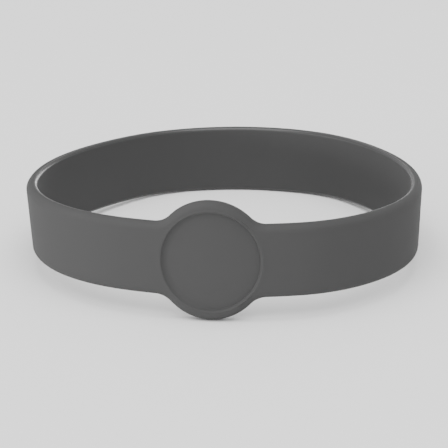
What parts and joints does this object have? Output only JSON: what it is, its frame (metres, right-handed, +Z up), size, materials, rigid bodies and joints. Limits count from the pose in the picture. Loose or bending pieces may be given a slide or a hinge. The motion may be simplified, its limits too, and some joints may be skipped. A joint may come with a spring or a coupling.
{
  "type": "silicone wristband",
  "caption": "Closed loop of flat soft strip standing on its edge, with a round head on the front that holds a shallow bare recess.",
  "frame": {"origin": "on the surface that the band rests on, under the middle of its bounding box", "axes": "+Z up, the head faces -Y, +X to the right as seen from in front"},
  "size_m": [0.0672, 0.066, 0.02],
  "materials": {
    "silicone": "matte, finely grained, black that looks charcoal grey in bright light"
  },
  "bodies": {
    "root": {"wristband": "silicone"}
  },
  "joints": []
}
